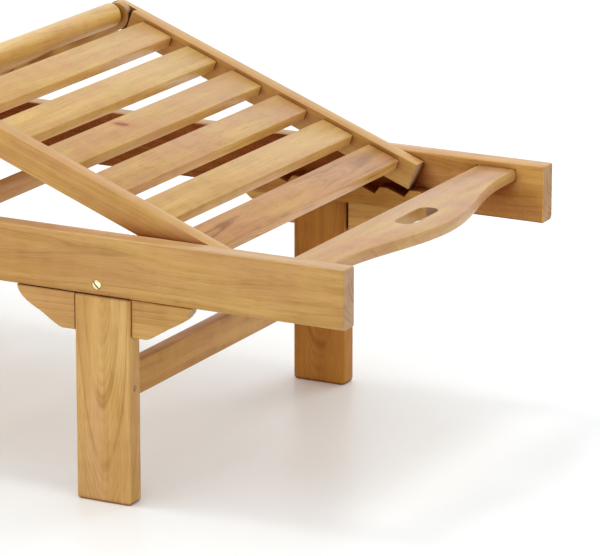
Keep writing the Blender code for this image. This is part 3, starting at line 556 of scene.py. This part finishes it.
edgeLook = {"weld": 0.00001, "boardAngle": 35.0, "roundAngle": 40.0}


def smoothEdges(piece, angle):
    piece.data.shade_smooth()
    weld = piece.modifiers.new("weld", "WELD")
    weld.merge_threshold = edgeLook["weld"]
    split = piece.modifiers.new("crisp edges", "EDGE_SPLIT")
    split.split_angle = math.radians(angle)


def dress(node, seed, axes, look):
    low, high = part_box(node)
    piece = nodes[node]
    piece.data.materials.clear()
    piece.data.materials.append(woodMaterial(node, seed, (low + high) / 2, axes, look))
    smoothEdges(piece, edgeLook["boardAngle"])


# directions of the boards
alongX = ((1, 0, 0), (0, 0, 1), (0, -1, 0))
alongZ = ((0, 0, 1), (1, 0, 0), (0, 1, 0))
alongY = ((0, 1, 0), (-1, 0, 0), (0, 0, 1))
onEdgeY = ((0, 1, 0), (0, 0, 1), (1, 0, 0))
seatPoint = Vector(joints["knee_raise"]["pos_m"])
kneePoint = Vector(joints["knee_fold"]["pos_m"])
calfSlope = math.radians(20.9)
panels = {
    "calf": Vector((math.cos(calfSlope), 0.0, -math.sin(calfSlope))),
    "thigh": (kneePoint - seatPoint).normalized(),
    "back": Vector((1, 0, 0)),
}


def panelRail(direction):
    across = Vector((-direction.z, 0.0, direction.x))
    return (tuple(direction), tuple(across), (0, -1, 0))


def panelSlat(direction):
    up = Vector((-direction.z, 0.0, direction.x))
    return ((0, 1, 0), tuple(-direction), tuple(up))


# each board has a grain of its own
seeds = {
    "sideRail": 3.1,
    "footLeg": 8.3,
    "headLeg": 11.3,
    "bracket": 20.0,
    "footRack": 41.0,
    "backRack": 45.0,
    "stretcher": 50.5,
    "centreTie": 51.5,
    "headBoard": 53.5,
    "handle": 57.0,
    "slat": 60.0,
    "panelRail": 90.0,
    "bar": 120.0,
    "propArm": 130.0,
    "wheel": 140.0,
    "plug": 150.0,
}
seedSteps = {"bracket": 1.37, "slat": 1.9, "panelRail": 3, "bar": 1.1}
sides = ("left", "right")

sideRailLook = {
    "ringWidth": 0.0075,
    "pithDepth": -0.0057,
    "pithSide": 0.016,
    "lean": 0.03,
    "wander": 0.014,
    "ringShare": 0.45,
    "cornerShare": 1.0,
}
railLooks = {
    "right": {
        "ringShare": 0.34,
        "tint": (0.915, 0.87, 0.89),
        "ruddy": {"from": 0.66, "to": 0.4, "tone": (0.93, 0.86, 0.8)},
        # painted highlight: a paler, bluer tone on its top stands for sheen
        "paintedTopTone": (1.08, 1.16, 1.55),
        "paintedCornerTone": (1.6, 1.6, 2.2),  # painted light in corners, which softens their shade
        "cornerReach": 0.08,
        "cornerRange": (0.9, 0.45),
    },
    "left": {
        "tint": (1.08, 0.98, 0.98),
        "paintedTopTone": (1.0, 1.06, 1.2),
        # painted shade: the long reach darkens the whole inner face under the panels
        "paintedCornerTone": (0.34, 0.1, 0.055),
        "cornerReach": 0.8,
        "cornerRange": (0.6, 0.25),
        "gloss": 0.03,
        "sheen": (0.05, 0.7),
    },
}
for number, side in enumerate(sides):
    dress(f"side_rail_{side}", seeds["sideRail"] + number, alongX, {**sideRailLook, **railLooks[side]})

legLook = {
    "ringWidth": 0.011,
    "pithDepth": 0.0385,
    "pithSide": 0.001,
    "lean": -0.14,
    "wander": 0.006,
    "ringShare": 0.42,
    "fibreShare": 0.12,
    "cornerShare": 1.0,
    # painted shade in tight corners, such as where the foot meets the floor
    "paintedCornerTone": (0.55, 0.36, 0.24),
    "cornerReach": 0.006,
    "cornerRange": (0.9, 0.5),
    "gapShadeTone": (1.0, 1.0, 1.0),
    "sheen": (0.0, 0.6),
    "gloss": 0.08,
}
# painted shade: the left foot leg is tinted darker and redder
legTints = {"right": (1.07, 1.1, 1.45), "left": (0.84, 0.63, 0.42)}
for number, side in enumerate(sides):
    dress(f"leg_foot_{side}", seeds["footLeg"] + number, alongZ, {**legLook, "tint": legTints[side]})
    dress(f"leg_head_{side}", seeds["headLeg"] + number, alongZ, legLook)

bracketLook = {
    "ringWidth": 0.007,
    "ringShare": 0.55,
    "wander": 0.008,
    "cornerShare": 1.0,
    # painted light in tight corners, which lifts the shade under the rail
    "paintedCornerTone": (1.25, 1.15, 1.1),
    "cornerReach": 0.007,
    "cornerRange": (0.84, 0.5),
}
shadowGap = {"paintedCornerTone": (0.2, 0.085, 0.05)}  # painted shadow in the gap where these brackets stand off the leg
gappedBrackets = ("bracket_foot_inner_right", "bracket_foot_outer_left")
# painted light: the left brackets are tinted paler, which lifts their shade
bracketTints = {"right": (0.96, 0.92, 0.96), "left": (1.28, 1.26, 1.17)}
seed = seeds["bracket"]
for end in ("foot", "head"):
    for place in ("outer", "inner"):
        for side in sides:
            seed += seedSteps["bracket"]
            name = f"bracket_{end}_{place}_{side}"
            gap = shadowGap if name in gappedBrackets else {}
            dress(name, seed, alongX, {**bracketLook, **gap, "tint": bracketTints[side]})

rackLook = {
    # painted shade: tinted darker and redder, with dark corners over a long reach
    "tint": (0.95, 0.84, 0.74),
    "ringShare": 0.4,
    "cornerShare": 1.0,
    "paintedCornerTone": (0.3, 0.14, 0.08),
    "cornerReach": 0.3,
    "gloss": 0.03,
    "sheen": (0.05, 0.5),
}
for number, side in enumerate(sides):
    dress(f"rack_foot_{side}", seeds["footRack"] + number, alongX, rackLook)
    dress(f"rack_back_{side}", seeds["backRack"] + number, alongX, rackLook)

# painted shade: a redder tint, and very wide rings that lay a broad dark band along the top edge
stretcherLook = {
    "ringWidth": 0.075,
    "pithSide": -0.089,
    "lean": 0.0,
    "ringShare": 0.6,
    "tint": (0.96, 0.85, 0.66),
}
dress("foot_stretcher", seeds["stretcher"], onEdgeY, stretcherLook)
dress("head_board", seeds["headBoard"], onEdgeY, {})
dress("centre_tie", seeds["centreTie"], alongY, stretcherLook)

handleLook = {
    "ringShare": 0.25,
    "roseShare": 0.9,
    "tint": (0.94, 0.93, 1.08),
    "cornerShare": 0.4,
    "sheen": (0.5, 0.62),
}
dress("handle_board", seeds["handle"], alongY, handleLook)

slatLook = {
    "ringShare": 0.26,
    "fibreShare": 0.15,
    "cornerShare": 0.15,
    "wander": 0.012,
    # painted shade: tops made darker than the rest of the slat
    "paintedTopTone": (0.77, 0.75, 0.72),
    "sheen": (0.45, 0.62),
}
slatPith = {"side": 0.05, "sway": 0.012, "step": 2.3}  # each slat is cut at another place in the log
slatFace = (1.26, 1.3, 1.32)  # painted light: the slats' edge faces are made paler than their tops
slatTints = ((1, 1, 1), (1.04, 1.05, 1.05), (0.98, 0.97, 0.95), (0.95, 0.92, 0.9), (1.02, 1.03, 1.02))
calfKnot = {"at": (-0.0756, 0.0102, 0.0), "length": 0.0115, "width": 0.0052, "turn": 36.0}
calfSlatLooks = [  # from the knee down
    {"roseShare": 0.55, "tint": (1.06, 1.08, 1.05)},
    {"roseShare": 0.4, "tint": (1.08, 1.13, 1.2)},
    {"roseShare": 0.75, "knots": [calfKnot]},
    {"roseShare": 1.0, "fleckShare": 0.34},
    {"roseShare": 0.45, "tint": (1.04, 1.06, 1.15)},
    {
        "tint": (0.93, 0.84, 0.82),
        "roseShare": 0.8,
        "pithDepth": 0.018,
        "pithSide": 0.002,
        "ringWidth": 0.006,
        "wander": 0.018,
        "ringShare": 0.8,
    },
]
panelRailLook = {
    "tint": (0.98, 0.92, 0.9),
    # painted light on its tops; painted shade in its corners and on ends in the gaps at the slats
    "paintedTopTone": (1.05, 1.08, 1.08),
    "cornerShare": 1.0,
    "paintedCornerTone": (0.5, 0.28, 0.17),
    "cornerReach": 0.035,
    "gapShadeTone": (0.36, 0.2, 0.13),
}
for panel, direction in panels.items():
    slatCount = sum(node.startswith(f"{panel}_slat_") for node in nodes)
    for number in range(1, slatCount + 1):
        pithSide = slatPith["side"] + slatPith["sway"] * math.sin(slatPith["step"] * number)
        look = {**slatLook, "tint": slatTints[number % len(slatTints)], "pithSide": pithSide}
        if panel == "calf":
            look = {**look, "tint": (1, 1, 1), **calfSlatLooks[number - 1]}
        look["tint"] = tuple(t * f for t, f in zip(look["tint"], slatFace))
        seed = seeds["slat"] + seedSteps["slat"] * number + len(panel)
        dress(f"{panel}_slat_{number}", seed, panelSlat(direction), look)
    for number, side in enumerate(sides):
        seed = seeds["panelRail"] + number + seedSteps["panelRail"] * len(panel)
        dress(f"{panel}_rail_{side}", seed, panelRail(direction), panelRailLook)

barLook = {
    "tint": (1.18, 1.2, 1.06),
    # painted highlight: a paler tone on its top
    "paintedTopTone": (1.03, 1.1, 1.2),
    "sheen": (0.05, 0.9),
    "ringShare": 0.4,
    "ringWidth": 0.005,
    "pithDepth": 0.03,
    "pithSide": 0.01,
}
for number, name in enumerate(("knee_bar", "seat_hinge_rod", "back_hinge_rod", "prop_bar", "wheel_axle")):
    dress(name, seeds["bar"] + seedSteps["bar"] * number, alongY, barLook)

propLook = {"tint": (0.96, 0.95, 0.94)}
wheelLook = {"tint": (0.92, 0.9, 0.88), "ringWidth": 0.006}
for number, side in enumerate(sides):
    dress(f"prop_arm_{side}", seeds["propArm"] + number, alongX, propLook)
    dress(f"wheel_{side}", seeds["wheel"] + number, alongX, wheelLook)
print("boards dressed")


# slotted brass heads
brassLook = {
    "brass": ((0.78, 0.62, 0.3), (0.92, 0.82, 0.52)),  # dark and pale
    # painted shade: the slot floor is coloured dark
    "slotShade": ((0.1, 0.06, 0.02), (0.2, 0.13, 0.05)),
    "cloudScale": 320.0,
    "cloudDetail": 3.0,
    "clouds": (0.3, 0.7),
    "roughness": (0.18, 0.36),
}
headLook = {
    "radius": 0.0063,
    "rise": 0.0019,
    "sink": 0.001,
    "crown": 0.96,  # share of the quarter turn up to the dome's flat top
    "slot": 0.00085,
    "slotTilt": 48.0,
    "slotFloor": 0.0,
    "floorShares": (0.97, 0.93),  # of the radius, at the floor's foot and top
    "rings": 7,
    "around": 48,
}


def brassMaterial(name, dark, pale):
    made = bpy.data.materials.new(name)
    made.use_nodes = True
    tree = made.node_tree
    shader = tree.nodes["Principled BSDF"]
    shader.inputs["Metallic"].default_value = 1.0
    place = put(tree, "ShaderNodeTexCoord").outputs["Object"]
    cloudy = speckle(tree, place, brassLook["cloudScale"], brassLook["cloudDetail"])
    rough = remap(tree, cloudy, *brassLook["clouds"], *brassLook["roughness"])
    tree.links.new(mixColour(tree, cloudy, rgb(*dark), rgb(*pale)), shader.inputs["Base Color"])
    tree.links.new(rough, shader.inputs["Roughness"])
    return made


brass = brassMaterial("brass", *brassLook["brass"])
slotShade = brassMaterial("painted slot shade", *brassLook["slotShade"])


def domeMesh(look):
    # low dome about the origin, facing +Z
    bm = bmesh.new()
    rows = [(look["radius"], -look["sink"])]
    for ring in range(look["rings"]):
        lean = math.pi / 2 * (1 - look["crown"] * ring / (look["rings"] - 1))
        rows.append((look["radius"] * math.sin(lean), look["rise"] * math.cos(lean)))
    turns = [2 * math.pi * k / look["around"] for k in range(look["around"])]
    loops = []
    for radius, height in rows:
        loops.append([bm.verts.new((radius * math.cos(t), radius * math.sin(t), height)) for t in turns])
    for lower, upper in zip(loops, loops[1:]):
        for k in range(len(lower)):
            after = (k + 1) % len(lower)
            bm.faces.new((lower[k], lower[after], upper[after], upper[k]))
    bm.faces.new(loops[-1])
    bm.faces.new(loops[0][::-1])
    return bm


def addMesh(name, bm):
    mesh = bpy.data.meshes.new(name)
    bm.to_mesh(mesh)
    bm.free()
    piece = bpy.data.objects.new(name, mesh)
    bpy.context.scene.collection.objects.link(piece)
    return piece


def slottedHead(name):
    whole = bmesh.new()
    for side in (1, -1):
        half = domeMesh(headLook)
        cut = bmesh.ops.bisect_plane(
            half,
            geom=half.verts[:] + half.edges[:] + half.faces[:],
            plane_co=(0, side * headLook["slot"], 0),
            plane_no=(0, side, 0),
            clear_inner=True,
        )
        bmesh.ops.holes_fill(half, edges=[e for e in cut["geom_cut"] if isinstance(e, bmesh.types.BMEdge)])
        mesh = bpy.data.meshes.new("half head")
        half.to_mesh(mesh)
        half.free()
        whole.from_mesh(mesh)
        bpy.data.meshes.remove(mesh)
    low, high = -headLook["sink"], headLook["slotFloor"]
    footShare, topShare = headLook["floorShares"]
    floor = bmesh.ops.create_cone(
        whole,
        cap_ends=True,
        segments=headLook["around"],
        radius1=headLook["radius"] * footShare,
        radius2=headLook["radius"] * topShare,
        depth=high - low,
    )
    bmesh.ops.translate(whole, verts=floor["verts"], vec=(0, 0, (low + high) / 2))
    # the slot floor takes the dark colour, painted shade
    for face in {face for vert in floor["verts"] for face in vert.link_faces}:
        face.material_index = 1
    head = addMesh(name, whole)
    head.data.materials.append(brass)
    head.data.materials.append(slotShade)
    smoothEdges(head, edgeLook["roundAngle"])
    return head


for side, sign in (("left", 1), ("right", -1)):
    low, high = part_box(f"leg_bolt_{side}")
    outside = (high.y if sign > 0 else low.y) - sign * headLook["rise"]
    for end, mirror in (("foot", 1), ("head", -1)):  # the head legs mirror the foot legs
        head = slottedHead(f"screw_{end}_{side}")
        head.location = ((low.x + high.x) / 2 * mirror, outside, (low.z + high.z) / 2)
        head.rotation_euler = (math.radians(-90 * sign), math.radians(headLook["slotTilt"]), 0)
        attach(head, "frame")
        if end == "foot":
            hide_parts(f"leg_bolt_{side}")
print("brass heads made")

# dowel plugs where the stretcher is pinned to the foot legs
plugLook = {
    "radius": 0.0042,
    "rise": 0.0004,
    "sink": 0.001,
    "crown": 0.96,
    "rings": 4,
    "around": 32,
    "height": 0.1494,  # above the floor
}
plugWood = {"tint": (0.5, 0.42, 0.4), "ringWidth": 0.002}
for side in sides:
    low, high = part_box(f"leg_foot_{side}")
    plug = addMesh(f"plug_{side}", domeMesh(plugLook))
    plug.data.materials.append(woodMaterial(f"plug_{side}", seeds["plug"], (0, 0, 0), alongX, plugWood))
    smoothEdges(plug, edgeLook["roundAngle"])
    plug.location = (high.x, (low.y + high.y) / 2, plugLook["height"])
    plug.rotation_euler = (0, math.radians(90), 0)
    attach(plug, "frame")
print("plugs made")


# pale floor, soft light and the photo's camera
stageLook = {"size": 60.0, "colour": (0.928, 0.96, 0.966), "roughness": 0.35, "gloss": 0.3}


def makeFloor():
    bm = bmesh.new()
    bmesh.ops.create_grid(bm, x_segments=1, y_segments=1, size=stageLook["size"] / 2)
    floor = addMesh("floor", bm)
    made = bpy.data.materials.new("pale floor")
    made.use_nodes = True
    shader = made.node_tree.nodes["Principled BSDF"]
    shader.inputs["Base Color"].default_value = rgb(*stageLook["colour"])
    shader.inputs["Roughness"].default_value = stageLook["roughness"]
    shader.inputs["Specular IOR Level"].default_value = stageLook["gloss"]
    floor.data.materials.append(made)


lightLook = {
    "keyFrom": (-0.45, -0.08, 1.0),
    "keyPower": 0.42,
    "keyAngle": 13.0,
    "sideFrom": (0.9, -0.2, 0.3),
    "sidePower": 0.34,
    "sideAngle": 35.0,
    "backFrom": (0.25, 1.0, 0.5),
    "backPower": 0.9,
    "backAngle": 40.0,
    "screenAt": (0.45, -1.3, 0.3),
    "screenTowards": (0.5, 0.0, 0.27),
    "screenSize": (1.3, 0.14),
    "screenPower": 1.6,
    "brightest": (-0.08, -0.15, 0.98),
    "skyRange": (0.0, 0.9),  # facing of the brightest part, from horizon to zenith
    "zenith": 1.2,
    "horizon": 0.18,
}


def addLamp(name, kind, energy, direction, place=(0.0, 0.0, 0.0)):
    light = bpy.data.lights.new(name, kind)
    light.energy = energy
    lamp = bpy.data.objects.new(name, light)
    lamp.location = place
    lamp.rotation_euler = Vector(direction).to_track_quat("Z", "Y").to_euler()
    bpy.context.scene.collection.objects.link(lamp)
    return lamp


def makeLights():
    for name in ("key", "side", "back"):
        lamp = addLamp(name, "SUN", lightLook[name + "Power"], lightLook[name + "From"])
        lamp.data.angle = math.radians(lightLook[name + "Angle"])
        lamp.visible_glossy = name != "back"
    place = Vector(lightLook["screenAt"])
    facing = place - Vector(lightLook["screenTowards"])
    screen = addLamp("screen", "AREA", lightLook["screenPower"], facing, place)
    screen.data.shape = "RECTANGLE"
    screen.data.size, screen.data.size_y = lightLook["screenSize"]
    screen.visible_camera = False


def makeWorld():
    # white to the camera and in reflections, a soft sky to everything else
    world = bpy.data.worlds.new("studio")
    bpy.context.scene.world = world
    world.use_nodes = True
    tree = world.node_tree
    tree.nodes.clear()
    path = put(tree, "ShaderNodeLightPath").outputs
    shiny = calc(tree, "MAXIMUM", path["Is Glossy Ray"], path["Is Transmission Ray"])
    seen = calc(tree, "MAXIMUM", path["Is Camera Ray"], shiny)
    way = put(tree, "ShaderNodeTexCoord").outputs["Generated"]
    height = vectorCalc(tree, "DOT_PRODUCT", way, lightLook["brightest"])
    ambient = remap(tree, height, *lightLook["skyRange"], lightLook["horizon"], lightLook["zenith"])
    strength = put(tree, "ShaderNodeMix", {0: seen, 2: ambient, 3: 1.0}, data_type="FLOAT").outputs[0]
    sky = put(tree, "ShaderNodeBackground", {"Color": rgb(1, 1, 1), "Strength": strength})
    put(tree, "ShaderNodeOutputWorld", {"Surface": sky.outputs[0]})


cameraLook = {
    "at": (3.24145, -4.7896, 1.7471),
    "towards": (-0.44866, 0.85195, -0.26997),
    "roll": -0.006,
    "lens": 264.74,
    "sensor": 36.0,
    "clipEnd": 200.0,
}


def makeCamera():
    camera = bpy.data.cameras.new("camera")
    camera.lens = cameraLook["lens"]
    camera.sensor_width = cameraLook["sensor"]
    camera.clip_end = cameraLook["clipEnd"]
    holder = bpy.data.objects.new("camera", camera)
    holder.location = cameraLook["at"]
    aim = Vector(cameraLook["towards"]).to_track_quat("-Z", "Y").to_matrix()
    holder.rotation_euler = (aim @ Matrix.Rotation(math.radians(cameraLook["roll"]), 3, "Z")).to_euler()
    bpy.context.scene.collection.objects.link(holder)
    bpy.context.scene.camera = holder


makeFloor()
makeLights()
makeWorld()
makeCamera()
bpy.context.scene.view_settings.view_transform = "Standard"
print("stage set")
